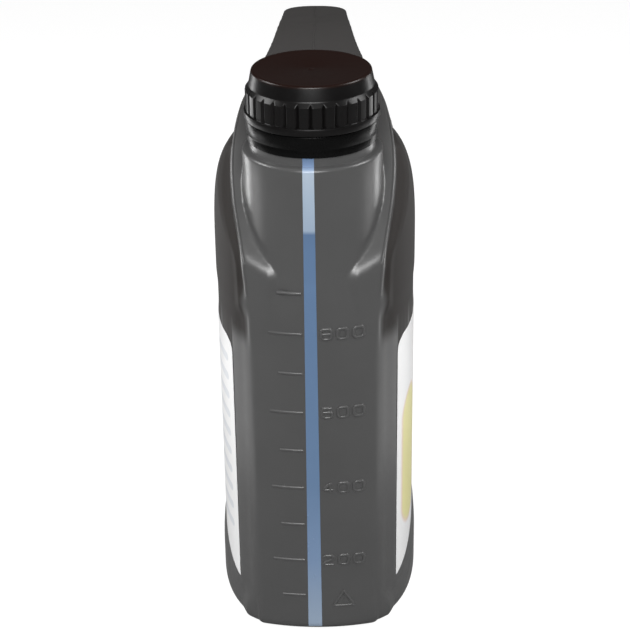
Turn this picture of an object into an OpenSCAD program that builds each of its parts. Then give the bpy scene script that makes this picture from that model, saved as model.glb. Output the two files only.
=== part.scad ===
// One litre bottle for transmission fluid, with a handle blown into its back.
// Millimetres, +Z up, origin under the middle of the base, the pouring side towards -Y.
// Sizes along the depth are counted from the front face until the last move in each sub-part.

/* [Body] */
// width over the two label panels
body_w = 69.2; // [60:0.2:80]
// depth from the front panel to the back
body_d = 122; // [100:1:140]
// where the body is widest, counted from the front
widest_y = 52; // [40:1:70]
// reach of the side curve forward of the widest place
side_reach = 53; // [45:0.5:65]
// roundness of the side curve
side_power = 2.5; // [2:0.1:4]
// roundness of the back
rear_power = 3; // [2:0.1:4]
// wall of the blown body
wall = 1.2; // [0.8:0.1:2.5]
// rounding of the base edge
base_r = 4; // [3:0.5:12]
// how far the foot stands out past the label panel
foot_proud = 1.4; // [0:0.1:2]
// top of the foot at the front corner
foot_z = 10.4; // [6:0.5:20]
// rise of the foot from the front corner to the widest place
foot_rise = 16; // [0:0.5:30]
// push-up of the base
push_up = 2; // [1:0.2:5]

/* [Front panel] */
// width of the front panel at the shoulder
panel_w = 44.2; // [36:0.2:52]
// width of the front panel at the base
panel_base_w = 43.4; // [36:0.2:52]
// radius of the front panel at the base
panel_low_r = 78; // [50:1:150]
// radius of the front panel at the shoulder
panel_high_r = 40; // [30:1:80]
// how far the front panel stands out at its edge
panel_step = 1.3; // [0.4:0.1:3]
// run of the corner behind the ridge
corner_run = 6.5; // [4:0.5:12]
// distance from the front to the front edge of the label panel
side_y = 12.3; // [10:0.1:20]

/* [Shoulder] */
// height where the sloping roof starts
roof_z = 139; // [110:0.2:150]
// distance from the front where the roof starts
roof_y = 2; // [1:0.5:6]
// power of the roof curve
roof_power = 1.9; // [1.5:0.05:3]
// height of the handle crest
crest_z = 200.2; // [180:0.2:220]
// distance from the back to the handle crest
crest_back = 27; // [16:1:36]
// width between the ridges where they are furthest apart
ridge_w = 54.2; // [46:0.2:62]
// width of the handle top at the crest
tail_w = 21.4; // [14:0.2:30]
// rounding of the ridge
ridge_r = 0.9; // [0.6:0.1:4]
// depth of the groove between ridge and cheek
groove = 1.9; // [0:0.1:4]
// height where the cheeks start to round in
cheek_z = 136.4; // [120:1:150]
// height over which the cheeks round in
cheek_h = 42; // [30:1:60]
// roundness of the cheeks
cheek_power = 0.7; // [0.4:0.05:1]
// how far the cheeks stand out past the label panel
pad_proud = 0.8; // [0:0.1:2]
// height where the cheeks start to stand out
pad_z = 119.9; // [108:0.5:130]
// height over which they reach their full stand
pad_rise = 7; // [3:0.5:15]

/* [Handle] */
// depth of the grip behind the finger opening
grip_d = 25; // [18:1:32]
// height of the middle of the finger opening
hole_z = 159.4; // [145:1:170]
// length of the finger opening along the depth
hole_d = 32; // [24:1:40]
// height of the finger opening
hole_h = 50; // [36:1:60]
// lean of the finger opening towards the back
hole_lean = 0.16; // [-0.4:0.02:0.4]
// half of the middle stretch of the opening, before its rim flares
flare_x = 15; // [8:0.5:24]
// radius of the flared rim
flare_r = 21; // [19:0.5:30]
// how far the back of the handle leans forward at the crest
back_lean = 7; // [0:0.5:20]
// height where the back starts to lean forward
lean_z = 140; // [120:1:160]
// rounding of the handle at the top of the back
tail_r = 8; // [6:0.5:16]

/* [Neck] */
// diameter of the threaded finish
finish_dia = 35.8; // [32:0.2:40]
// wall of the finish
finish_wall = 1.7; // [1:0.1:3]
// width of the ledge that carries the tamper ring
ledge_w = 2.8; // [2:0.1:4]
// width of the column top round the plain neck
column_w = 2.5; // [1.8:0.1:5]
// gap from the front plane to the column
column_gap = 0.25; // [0:0.05:2]
// height of the column top
column_top = 178; // [160:0.2:190]
// rounding of the column top
column_edge = 1.4; // [0.5:0.1:3]
// height of the plain neck above the column
neck_h = 5.4; // [4:0.1:10]
// height of the finish above the ledge
finish_h = 17.5; // [12:0.1:25]

/* [Cap] */
// room for the thread between finish and cap
thread_room = 1.2; // [0.8:0.1:2]
// wall of the skirt
cap_wall = 2.55; // [1.6:0.05:4]
// thickness of the cap top
cap_roof = 2.1; // [1.2:0.1:3]
// height of the smooth band under the top
cap_band_h = 4.8; // [2:0.1:8]
// how far the band narrows from its lower end to the top
band_taper = 0.9; // [0:0.1:2]
// how far the band stands in from the skirt
band_in = 1.15; // [0.4:0.05:2]
// height of the cone between the band and the skirt
cap_step_h = 1.6; // [0.4:0.1:3]
// how far the flange stands out past the skirt
flange_proud = 0.65; // [0.2:0.05:2]
// height of the flange
cap_flange_h = 2.5; // [1:0.1:5]
// slit between the cap and the tamper ring
cap_slit = 0.3; // [0.2:0.1:1]
// number of grooves round the skirt
groove_count = 32; // [12:1:60]
// depth of a skirt groove
groove_depth = 0.75; // [0.3:0.05:1.2]
// width of a skirt groove
groove_w = 1.5; // [0.6:0.1:3]

/* [Liner and ring] */
// thickness of the liner
liner_t = 1.2; // [0.6:0.1:2]
// gap from the liner to the inside of the cap
liner_gap = 0.3; // [0.2:0.1:1]
// height of the ring above the ledge
ring_rise = 4.8; // [2:0.1:8]
// height of the ring below the ledge
ring_drop = 2.3; // [1:0.1:4]
// gap from the ring to the plain neck
ring_gap = 0.3; // [0.2:0.1:1]
// wall of the ring at its lower edge
ring_wall = 0.5; // [0.4:0.1:1.5]
// how far the ring widens to its upper edge
ring_flare = 0.4; // [0:0.1:1]
// gap from the ring's lip to the finish
lip_gap = 1.5; // [0.4:0.1:2]
// gap from the ring to the roof behind it
moat_gap = 0.5; // [0.3:0.1:2]

/* [Sight strip] */
// width of the strip at the column
strip_w = 4.3; // [2:0.1:10]
// width of the strip at the foot
strip_foot_w = 6; // [2:0.1:10]
// thickness of the strip
strip_t = 0.7; // [0.3:0.05:1.2]
// middle of the strip left of the middle of the bottle
strip_x = 1; // [0:0.1:5]
// height of the lower end of the strip
strip_low = 2; // [0.5:0.1:10]
// gap from the strip's upper end to the tamper ring
strip_gap = 0.1; // [0:0.1:2]

/* [Labels] */
// thickness of the label film
label_t = 0.16; // [0.05:0.01:0.5]
// gap under the label film
label_lift = 0.15; // [0.05:0.05:0.3]
// height of the label's upper edge
label_top = 110.4; // [80:0.2:114]
// gap from the foot to the label's lower edge
label_gap = 3; // [1:0.5:10]

/* [Fluid] */
// height of the fluid level
fluid_z = 155.9; // [60:0.5:160]
// space between fluid and wall
fluid_gap = 0.3; // [0.1:0.05:1]

/* [Hidden] */
$fn = 96;
cut = 2;
strip_over = 0.5;
strip_drop = 0.4;
strip_turn = 52;
pad_lead = 2;
ridge_run = 2.4;
row_over = 0.05;
half = 0.5;
quarter_turn = 90;
half_turn = 180;
full_turn = 360;
side_max = body_w / 2;
body_mid_y = body_d / 2;
crest_y = body_d - crest_back;
hole_y = body_d - grip_d - hole_d * half;
roof_drop = crest_z - roof_z;
roof_run = crest_y - roof_y;
// the ridge's places along the roof, and its half-width there as shares of the widest half-width
ridge_run_shares = [0, 0.05, 0.1, 0.15, 0.2, 0.3, 0.4, 0.5, 0.6, 0.7, 0.8, 0.9, 1];
ridge_w_shares = [0.812, 0.812, 0.877, 0.939, 0.982, 1.012, 0.985, 0.904, 0.771, 0.633, 0.512, 0.45,
    tail_w / ridge_w];
// the points across half of the front, as shares of its half-width
front_shares = [0, 0.23, 0.46, 0.69, 0.88, 1];
front_shares_inner = [0, 0.35, 0.7, 1];
side_steps = 16;
side_steps_inner = 11;
// the corner band behind the panel edge, and the groove in front of the cheek, as shares of the run
dip_share = 0.45;
dip_x_share = 0.2;
band_x_share = 0.55;
band_y_share = 0.5;
pad_x_share = 0.12;
pad_y_share = 0.45;
soft_edge = 2.4;
recess_share = 2.4;
flare_share = 0.976;
foot_x_share = 0.16;
foot_y_share = 0.34;
cap_edge_share = 0.2;
inner_roof_share = 1.35;
finish_r = finish_dia / 2;
bore_r = finish_r - finish_wall;
neck_r = finish_r + ledge_w;
column_r = neck_r + column_w;
neck_y = column_r + column_gap;
ledge_z = column_top + neck_h;
mouth_z = ledge_z + finish_h;
cap_top = mouth_z + liner_t + cap_roof;
cap_bore_r = finish_r + thread_room;
skirt_r = cap_bore_r + cap_wall;
ring_low = ledge_z - ring_drop;
ring_top = ledge_z + ring_rise;
ring_bore_r = neck_r + ring_gap;
ring_low_r = ring_bore_r + ring_wall;
ring_top_r = ring_low_r + ring_flare;
moat_r = ring_top_r + moat_gap;
// heights of the rows of the outer skin: foot, label panel, cheek foot, shoulder, handle
foot_row_shares = [0, 0.06, 0.2, 0.45, 1];
foot_rows = [for (s = foot_row_shares) base_r * s];
bulge_row_shares = [0.25, 0.5, 0.75, 1];
bulge_rows = [for (s = bulge_row_shares) base_r + (foot_z + foot_rise - base_r) * s];
panel_rows = [foot_z + foot_rise + label_gap, (foot_z + label_top) * half, label_top, pad_z - pad_lead];
pad_row_shares = [0, 0.25, 0.5, 0.75, 1];
pad_rows = [for (s = pad_row_shares) pad_z + pad_rise * s];
shoulder_row_shares = [0.04, 0.08, 0.12, 0.16, 0.2, 0.25, 0.31, 0.38, 0.46, 0.54, 0.62, 0.7, 0.78, 0.85,
    0.91, 0.96, 1];
shoulder_low = pad_z + pad_rise;
shoulder_rows = [for (s = shoulder_row_shares) shoulder_low + (cheek_z + cheek_h - shoulder_low) * s];
handle_row_shares = [0.14, 0.28, 0.42, 0.56, 0.68, 0.79, 0.88, 0.945, 0.98];
handle_low = cheek_z + cheek_h;
handle_rows = [for (s = handle_row_shares) handle_low + (crest_z - handle_low) * s];
outer_rows = concat(foot_rows, bulge_rows, panel_rows, pad_rows, shoulder_rows, handle_rows);
// heights of the rows of the hollow, and of the fluid in it
hollow_floor = push_up + wall;
hollow_lip = crest_z - wall * inner_roof_share;
hollow_low_shares = [0, 0.1, 0.4, 1];
hollow_low_rows = [for (s = hollow_low_shares) hollow_floor + base_r * s];
hollow_mid_shares = [0, 0.5, 0.95, 1.03];
hollow_mid_rows = [for (s = hollow_mid_shares) foot_z + foot_rise + (pad_z - foot_z - foot_rise) * s];
hollow_high_shares = [0, 0.04, 0.08, 0.16, 0.24, 0.33, 0.43, 0.53, 0.63, 0.71, 0.78, 0.85, 0.92, 0.98];
hollow_high_rows = [for (s = hollow_high_shares) shoulder_low + (hollow_lip - shoulder_low) * s];
// the row where the hollow steps back behind the tamper ring and the cheeks end
hollow_step_z = max(column_top, handle_low) - wall * inner_roof_share + row_over;
hollow_rows = concat(hollow_low_rows, hollow_mid_rows,
    [for (z = hollow_high_rows) if (z < hollow_step_z - pad_lead) z],
    [hollow_step_z],
    [for (z = hollow_high_rows) if (z > hollow_step_z + pad_lead) z]);
fluid_floor = hollow_floor + fluid_gap;
fluid_low_rows = [for (s = hollow_low_shares) fluid_floor + base_r * s];
fluid_high_shares = [0, 0.1, 0.2, 0.4, 0.6, 0.8, 1];
fluid_high_rows = [for (s = fluid_high_shares) shoulder_low + (fluid_z - shoulder_low) * s];
fluid_rows = concat(fluid_low_rows, hollow_mid_rows, fluid_high_rows);
arc_steps = 6;
hole_steps = 28;
hole_power = 2.5;
hole_reach = flare_x + flare_r * flare_share;
hole_rim_shares = [0, 0.25, 0.45, 0.62, 0.76, 0.88, 1];
strip_col_shares = [-1, -0.5, 0, 0.5, 1];
strip_turn_shares = [0, 0.08, 0.25, 0.5, 1];
strip_low_rows = [for (s = strip_turn_shares) strip_low + (base_r - strip_low) * s];
strip_mid_shares = [0.15, 0.4, 0.7, 1];
strip_mid_rows = [for (s = strip_mid_shares) base_r + (shoulder_low - base_r) * s];
strip_high_shares = [0.08, 0.12, 0.16, 0.2, 0.25, 0.5, 1];
strip_column_h = column_top - column_edge - strip_drop - shoulder_low;
strip_high_rows = [for (s = strip_high_shares) shoulder_low + strip_column_h * s];
strip_rows = concat(strip_low_rows, strip_mid_rows, strip_high_rows);
strip_end = ring_low - strip_gap;
edge_in = column_edge * (1 - cos(strip_turn));
edge_drop = column_edge * (1 - sin(strip_turn));
// the strip's way over the column top and up the neck: radius, height and outward direction
strip_neck = [
    [column_r - edge_in, column_top - edge_drop, cos(strip_turn), sin(strip_turn)],
    [column_r - column_edge - strip_drop, column_top, 0, 1],
    [neck_r, column_top, 1, 1],
    [neck_r, strip_end, 1, 0]
];
label_first = 1;
label_back_steps = 5;
label_last = side_steps - label_back_steps;
bottle_colour = [0.27, 0.27, 0.27];
cap_colour = [0.1, 0.09, 0.09];
strip_colour = [0.5, 0.6, 0.72];
label_colour = [0.93, 0.93, 0.93];
fluid_colour = [0.3, 0.42, 0.6];
liner_colour = [0.85, 0.85, 0.82];

// a smooth step from 0 to 1
function ease(t) = let (c = min(1, max(0, t))) c * c * (3 - 2 * c);

// the larger of two values, with a rounded change-over
function soft_max(a, b, k) = let (s = max(k - abs(a - b), 0) / k) max(a, b) + s * s * k / 4;

// a smooth curve through stations, read at x
function slope(xs, ys, i) = (ys[min(i + 1, len(ys) - 1)] - ys[max(i - 1, 0)])
    / (xs[min(i + 1, len(xs) - 1)] - xs[max(i - 1, 0)]);
function bay(xs, x, i = 0) = i >= len(xs) - 2 || x < xs[i + 1] ? i : bay(xs, x, i + 1);
function curve(xs, ys, x) = let (
        c = min(xs[len(xs) - 1], max(xs[0], x)),
        i = bay(xs, c),
        w = xs[i + 1] - xs[i],
        t = (c - xs[i]) / w,
        a = ys[i],
        b = ys[i + 1],
        p = slope(xs, ys, i) * w,
        q = slope(xs, ys, i + 1) * w
    ) a + t * (p + t * (3 * (b - a) - 2 * p - q + t * (p + q - 2 * (b - a))));

// the roof's distance from the front at height z
function roof_at(z) = crest_y - roof_run * pow(max(0, (crest_z - z) / roof_drop), 1 / roof_power);

// half-width between the ridges at distance y from the front
function ridge_at(y) = ridge_w * half
    * curve(ridge_run_shares, ridge_w_shares, (y - roof_y) / roof_run);

// the back's distance from the front at height z
function back_at(z) = let (
        lean = back_lean * ease((z - lean_z) / (crest_z - lean_z)),
        t = max(0, z - crest_z + tail_r) / tail_r
    ) body_d - lean - tail_r * (1 - sqrt(max(0, 1 - t * t)));

// half-width of the body at distance y from the front, with the back at y = b
function body_at(y, b) = let (
        behind = y > widest_y,
        t = behind ? (y - widest_y) / (b - widest_y) : (widest_y - y) / side_reach,
        p = behind ? rear_power : side_power
    ) side_max * pow(max(0, 1 - pow(t, p)), 1 / p);

// inset of the rounded edge round the crest at height z
function crest_inset(z) = let (t = max(0, z - crest_z + ridge_r) / ridge_r)
    ridge_r * (1 - sqrt(max(0, 1 - t * t)));

// half-width of the handle at height z, closed by a rounded back
function handle_at(y, b, z) = let (t = max(0, y - b + tail_r) / tail_r)
    (ridge_at(min(y, crest_y)) - crest_inset(z)) * pow(max(0, 1 - pow(t, side_power)), 1 / side_power);

// how much of the cheek is left at height z
function cheek_left(z) = let (u = min(1, max(0, (z - cheek_z) / cheek_h))) pow(1 - u * u, cheek_power);

// top of the foot at distance y from the front
function foot_at(y) = foot_z + foot_rise * ease((y - roof_y - corner_run) / (widest_y - corner_run));

// how far the side stands out past the label panel
function proud_at(y, z) = pad_proud * ease((z - pad_z) / pad_rise)
    + foot_proud * ease((foot_at(y) - z) / corner_run);

// half-width of the bottle at distance y and height z
function side_at(y, z) = let (
        b = back_at(z),
        full = body_at(y, b),
        thin = min(full, handle_at(y, b, z)),
        stand = full > side_max * half ? proud_at(y, z) : proud_at(y, z) * full / side_max / half
    ) thin + (full + stand - thin) * cheek_left(z);

// half-width of the front panel or the roof at height z
function front_half(z) = z > roof_z ? ridge_at(roof_at(z))
    : (panel_base_w + (panel_w - panel_base_w) * z / roof_z) * half;

// distance of the front from the front plane, at x and height z
function panel_r(z) = panel_low_r + (panel_high_r - panel_low_r) * ease(z / roof_z);
function moat_at(x, z) = z > column_top ? neck_y + sqrt(max(0, moat_r * moat_r - x * x)) : 0;
function front_at(x, z) = max(soft_max(x * x / panel_r(z) * half, roof_at(z), soft_edge), moat_at(x, z));

// inset of the rounded base edge at height z
function base_inset(z) = z >= base_r ? 0 : base_r - sqrt(max(0, z * (2 * base_r - z)));

// half of the outline at height z, from the middle of the front to the middle of the back
function half_outline(z, shares, steps, later = 0) = let (
        flat = front_half(z) - ridge_r,
        pad = ease((z - later - pad_z) / pad_rise),
        step = panel_step * (1 - pad),
        turn = half * quarter_turn,
        z45 = z + ridge_r * (1 - cos(turn)),
        in45 = ridge_r * (1 - sin(turn)),
        back45 = step * (1 - cos(turn)),
        y45 = min(front_at(front_half(z45) - in45, z45), front_at(flat, z) + ridge_run) + back45,
        x45 = (z > handle_low ? ridge_at(y45) : front_half(z45)) - in45,
        b = back_at(z),
        y90 = min(front_at(front_half(z + ridge_r), z + ridge_r) + step, y45 + ridge_run),
        x90 = z > handle_low ? min(ridge_at(y90), side_at(y90, z)) : front_half(z + ridge_r),
        free_run = min(corner_run, (b - y90) * half),
        run = side_y - y90 + (free_run - side_y + y90) * pad,
        y_side = y90 + run,
        x_side = side_at(y_side, z),
        k = ease((x_side - x90) / corner_run / half),
        dip = groove * k * ease((z - shoulder_low) / pad_rise) + panel_step * half * max(k, dip_share),
        y_dip = y90 + min(dip, run * dip_share),
        x_dip = x90 + (x_side - x90) * dip_x_share,
        foot = ease((foot_z + base_r - z) / corner_run),
        band_back = band_y_share * (1 - pad_y_share * pad * k - foot_y_share * foot),
        x_band = x90 + (x_side - x90) * (band_x_share + pad_x_share * pad * k + foot_x_share * foot),
        y_band = y_dip + (y_side - y_dip) * band_back,
        fronts = [for (s = shares) [flat * s, front_at(flat * s, z)]],
        corner = [[x45, y45], [x90, y90], [x_dip, y_dip], [x_band, y_band]],
        sides = [for (j = [0 : steps]) let (
                s = half * (1 - cos(half_turn * j / steps)),
                y = y_side + (b - y_side) * s
            ) [j == steps ? 0 : j == 0 ? x_side : side_at(y, z), y]]
    ) concat(fronts, corner, sides);

// draws a half outline in towards the middle of the section by an inset
function drawn_in(pts, inset) = let (
        y0 = pts[0][1],
        y1 = pts[len(pts) - 1][1],
        mid = (y0 + y1) * half,
        kx = 1 - inset / max([for (p = pts) p[0]]),
        ky = 1 - inset / (y1 - y0) / half
    ) [for (p = pts) [p[0] * kx, mid + (p[1] - mid) * ky]];

// the closed outline from half of it
function closed(pts) = let (n = len(pts))
    concat(pts, [for (i = [n - 2 : -1 : 1]) [-pts[i][0], pts[i][1]]]);

// a solid through closed outlines at given heights
module loft(outlines, heights) {
    n = len(outlines[0]);
    rows = len(outlines);
    m = n / 2;
    points = [for (k = [0 : rows - 1]) for (p = outlines[k]) [p[0], p[1], heights[k]]];
    walls = [for (k = [0 : rows - 2]) for (i = [0 : n - 1]) for (side = [0, 1]) let (
            a = k * n + i,
            b = k * n + (i + 1) % n,
            d = a + n,
            c = b + n
        ) side == 0 ? [a, d, c] : [a, c, b]];
    last = (rows - 1) * n;
    low = [for (i = [0 : n - 1]) if (i != m && i != m - 1) [m, i, (i + 1) % n]];
    high = [for (f = low) [last + f[0], last + f[2], last + f[1]]];
    polyhedron(points, concat(walls, low, high));
}

// the bottle's skin drawn in by a wall, for the outside, the hollow and the fluid
module skin(heights, inset, lift, shares, steps, floor) {
    outlines = [for (z = heights) let (
            up = z + lift * ease((z - pad_z) / pad_rise),
            base = base_inset(z - floor)
        ) closed(drawn_in(half_outline(up, shares, steps, lift + inset), inset + base))];
    loft(outlines, heights);
}

// the finger opening, drawn in or out by grow, with its rim flared towards both sides
function flare(x) = let (t = max(0, abs(x) - flare_x) / flare_r) flare_r * (1 - sqrt(max(0, 1 - t * t)));
function hole_ring(grow) = [for (i = [0 : hole_steps - 1]) let (
        a = full_turn * i / hole_steps,
        c = cos(a),
        s = sin(a),
        y = sign(c) * pow(abs(c), 2 / hole_power) * (hole_d * half + grow),
        z = sign(s) * pow(abs(s), 2 / hole_power) * (hole_h * half + grow)
    ) [y + z * hole_lean, z]];
module finger_opening(grow) {
    outs = [for (s = hole_rim_shares) flare_x + (hole_reach - flare_x) * s];
    xs = concat([for (i = [len(outs) - 1 : -1 : 0]) -outs[i]], outs);
    rings = [for (x = xs) [for (p = hole_ring(flare(x) + grow)) [p[1], p[0]]]];
    translate([0, hole_y, hole_z])
        rotate([0, quarter_turn, 0])
            mirror([1, 0, 0])
                mirror([0, 0, 1])
                    ring_loft(rings, xs);
}

// a solid through rings of points at given heights, closed by fans round its ends
module ring_loft(rings, heights) {
    n = len(rings[0]);
    rows = len(rings);
    points = concat([for (k = [0 : rows - 1]) for (p = rings[k]) [p[0], p[1], heights[k]]],
        [[0, 0, heights[0]], [0, 0, heights[rows - 1]]]);
    walls = [for (k = [0 : rows - 2]) for (i = [0 : n - 1]) for (side = [0, 1]) let (
            a = k * n + i,
            b = k * n + (i + 1) % n,
            d = a + n,
            c = b + n
        ) side == 0 ? [a, c, d] : [a, b, c]];
    low = [for (i = [0 : n - 1]) [rows * n, (i + 1) % n, i]];
    high = [for (i = [0 : n - 1]) [rows * n + 1, (rows - 1) * n + i, (rows - 1) * n + (i + 1) % n]];
    polyhedron(points, concat(walls, low, high));
}

// the strip in the front wall, pushed out by a given amount for the groove it lies in
function strip_front(x, z) = base_inset(z) + min(front_at(x, z),
    z > pad_z ? neck_y - sqrt(column_r * column_r - x * x) : body_d);
function neck_front(x, r) = neck_y - sqrt(r * r - x * x);
function strip_xs(z) = let (w = strip_w + (strip_foot_w - strip_w) * max(0, 1 - z / column_top))
    [for (c = strip_col_shares) c * w * half - strip_x];
module strip_body(out) {
    xs = strip_xs(column_top);
    n = len(xs);
    low = [for (z = strip_rows) [for (x = strip_xs(z)) [x, strip_front(x, z) - out, z]]];
    low_in = [for (z = strip_rows) [for (x = strip_xs(z)) [x, strip_front(x, z) + strip_t, z]]];
    high = [for (p = strip_neck) [for (x = xs) [x, neck_front(x, p[0] + p[2] * out), p[1] + p[3] * out]]];
    high_in = [for (p = strip_neck) [for (x = xs)
        [x, neck_front(x, p[0] - p[2] * strip_t), p[1] - p[3] * strip_t]]];
    outer = concat(low, high);
    inner = concat(low_in, high_in);
    rows = len(outer);
    loops = [for (k = [0 : rows - 1]) concat(outer[k], [for (i = [n - 1 : -1 : 0]) inner[k][i]])];
    points = [for (ring = loops) for (p = ring) p];
    m = 2 * n;
    walls = [for (k = [0 : rows - 2]) for (i = [0 : m - 1]) for (side = [0, 1]) let (
            a = k * m + i,
            b = k * m + (i + 1) % m,
            d = a + m,
            c = b + m
        ) side == 0 ? [a, d, c] : [a, c, b]];
    last = (rows - 1) * m;
    ends = [for (i = [0 : n - 2]) for (side = [0, 1])
        side == 0 ? [i, i + 1, m - 1 - i] : [i + 1, m - 2 - i, m - 1 - i]];
    tops = [for (f = ends) [last + f[0], last + f[2], last + f[1]]];
    polyhedron(points, concat(walls, ends, tops));
}

// the column under the neck, the plain neck and the threaded finish, turned round the neck's axis
module neck_solid() {
    arc = [for (a = [0 : quarter_turn / arc_steps : quarter_turn])
        [column_r - column_edge + column_edge * cos(a), column_top - column_edge + column_edge * sin(a)]];
    rotate_extrude()
        polygon(concat([[0, pad_z], [column_r, pad_z]], arc, [
            [neck_r, column_top],
            [neck_r, ledge_z],
            [finish_r, ledge_z],
            [finish_r, mouth_z],
            [0, mouth_z]
        ]));
}

// the space inside the neck, down into the body
module neck_hollow(grow, top) {
    r = column_r - wall - grow;
    step_z = column_top - wall - (r - bore_r) * half;
    rotate_extrude()
        polygon([
            [0, shoulder_low],
            [r, shoulder_low],
            [r, min(step_z, top)],
            [top > step_z ? bore_r : r, min(column_top, top)],
            [top > step_z ? bore_r : 0, top],
            [0, top]
        ]);
}

// the hollow of the bottle, kept clear of the finger opening by the wall
module hollow() {
    difference() {
        union() {
            skin(hollow_rows, wall, wall * inner_roof_share,
                front_shares_inner, side_steps_inner, hollow_floor);
            translate([0, neck_y, 0])
                neck_hollow(0, mouth_z + cut);
        }
        finger_opening(wall);
    }
}

// the push-up of the base
module base_recess() {
    foot_line = half_outline(base_r, front_shares_inner, side_steps_inner);
    low = closed(drawn_in(foot_line, base_r * recess_share));
    high = closed(drawn_in(foot_line, base_r * 2 * recess_share));
    loft([low, low, high], [-cut, 0, push_up]);
}

module bottle() {
    color(bottle_colour)
        translate([0, -body_mid_y, 0])
            difference() {
                union() {
                    skin(outer_rows, 0, 0, front_shares, side_steps, 0);
                    translate([0, neck_y, 0])
                        neck_solid();
                }
                hollow();
                finger_opening(0);
                strip_body(strip_over);
                base_recess();
            }
}

module sight_strip() {
    color(strip_colour)
        translate([0, -body_mid_y, 0])
            strip_body(0);
}

// the film on the right side panel
module label_film() {
    mid_z = (foot_z + foot_rise + label_top) * half;
    half_line = half_outline(mid_z, front_shares, side_steps);
    first = len(half_line) - side_steps - 1;
    places = [for (j = [label_first : label_last]) half_line[first + j]];
    n = len(places);
    lows = [for (p = places) foot_at(p[1]) + label_gap];
    points = concat(
        [for (i = [0 : n - 1]) [places[i][0] + label_lift, places[i][1], lows[i]]],
        [for (i = [0 : n - 1]) [places[i][0] + label_lift, places[i][1], label_top]],
        [for (i = [0 : n - 1]) [places[i][0] + label_lift + label_t, places[i][1], lows[i]]],
        [for (i = [0 : n - 1]) [places[i][0] + label_lift + label_t, places[i][1], label_top]]
    );
    walls = [for (i = [0 : n - 2]) for (f = [
            [i, i + 1, n + i], [i + 1, n + i + 1, n + i],
            [2 * n + i, 3 * n + i, 2 * n + i + 1], [3 * n + i, 3 * n + i + 1, 2 * n + i + 1],
            [i, 2 * n + i, i + 1], [2 * n + i, 2 * n + i + 1, i + 1],
            [n + i, n + i + 1, 3 * n + i], [n + i + 1, 3 * n + i + 1, 3 * n + i]
        ]) f];
    last = n - 1;
    ends = [
        [0, n, 2 * n], [n, 3 * n, 2 * n],
        [last, 2 * n + last, n + last], [2 * n + last, 3 * n + last, n + last]
    ];
    polyhedron(points, concat(walls, ends));
}

module label_right() {
    color(label_colour)
        translate([0, -body_mid_y, 0])
            label_film();
}

module label_left() {
    color(label_colour)
        translate([0, -body_mid_y, 0])
            mirror([1, 0, 0])
                label_film();
}

module screw_cap() {
    flange_r = skirt_r + flange_proud;
    band_r = skirt_r - band_in;
    top_r = band_r - band_taper;
    band_z = cap_top - cap_band_h;
    low_z = ring_top + cap_slit;
    flange_top = low_z + cap_flange_h;
    edge = cap_roof * cap_edge_share;
    mouth = groove_w * half * (groove_depth + cut) / groove_depth;
    color(cap_colour)
        translate([0, neck_y - body_mid_y, 0])
            difference() {
                rotate_extrude()
                    polygon([
                        [0, cap_top],
                        [top_r - edge, cap_top],
                        [top_r, cap_top - edge],
                        [band_r, band_z],
                        [skirt_r, band_z - cap_step_h],
                        [skirt_r, flange_top],
                        [flange_r - edge, flange_top],
                        [flange_r, flange_top - edge],
                        [flange_r, low_z + edge],
                        [flange_r - edge, low_z],
                        [cap_bore_r, low_z],
                        [cap_bore_r, cap_top - cap_roof],
                        [0, cap_top - cap_roof]
                    ]);
                for (i = [0 : groove_count - 1])
                    rotate([0, 0, full_turn * i / groove_count])
                        translate([skirt_r, 0, flange_top])
                            linear_extrude(band_z - flange_top + cut)
                                polygon([[-groove_depth, 0], [cut, -mouth], [cut, mouth]]);
            }
}

module cap_liner() {
    color(liner_colour)
        translate([0, neck_y - body_mid_y, mouth_z])
            cylinder(h = liner_t, r = cap_bore_r - liner_gap);
}

module tamper_ring() {
    lip_r = finish_r + lip_gap;
    color(cap_colour)
        translate([0, neck_y - body_mid_y, 0])
            rotate_extrude()
                polygon([
                    [ring_bore_r, ring_low],
                    [ring_low_r, ring_low],
                    [ring_top_r, ring_top],
                    [lip_r, ring_top],
                    [lip_r, ledge_z],
                    [ring_bore_r, ledge_z]
                ]);
}

module fluid() {
    inset = wall + fluid_gap;
    color(fluid_colour)
        translate([0, -body_mid_y, 0])
            difference() {
                union() {
                    skin(fluid_rows, inset, inset * inner_roof_share,
                        front_shares_inner, side_steps_inner, fluid_floor);
                    translate([0, neck_y, 0])
                        neck_hollow(fluid_gap, fluid_z);
                }
                finger_opening(inset);
            }
}

bottle();
sight_strip();
label_left();
label_right();
screw_cap();
cap_liner();
tamper_ring();
fluid();
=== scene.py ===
import math

import bpy
from mathutils import Matrix, Vector


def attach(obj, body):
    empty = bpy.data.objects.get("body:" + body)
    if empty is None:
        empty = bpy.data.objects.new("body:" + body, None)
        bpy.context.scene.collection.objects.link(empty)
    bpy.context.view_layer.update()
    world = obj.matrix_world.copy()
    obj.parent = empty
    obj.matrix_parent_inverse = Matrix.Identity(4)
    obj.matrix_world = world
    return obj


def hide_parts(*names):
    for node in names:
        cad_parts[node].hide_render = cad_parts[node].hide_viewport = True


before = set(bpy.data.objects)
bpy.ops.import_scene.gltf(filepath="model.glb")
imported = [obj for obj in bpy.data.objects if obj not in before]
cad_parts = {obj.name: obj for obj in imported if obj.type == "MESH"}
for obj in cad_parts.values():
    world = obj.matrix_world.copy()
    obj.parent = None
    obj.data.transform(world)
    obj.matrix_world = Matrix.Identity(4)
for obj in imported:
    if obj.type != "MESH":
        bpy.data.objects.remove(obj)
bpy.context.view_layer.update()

# Bottle
# One blow moulding of dark grey polyethylene: a slim body with a flat front panel, a round column
# under the neck, cheeks, a hollow handle round a finger opening, and a threaded finish for the cap.
MM = 0.001
body_w = 69.2
body_d = 122
widest_y = 52
side_reach = 53
side_power = 2.5
rear_power = 3
wall = 1.2
base_r = 4
foot_proud = 1.4
foot_z = 10.4
foot_rise = 16
panel_w = 44.2
panel_base_w = 43.4
panel_low_r = 78
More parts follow.
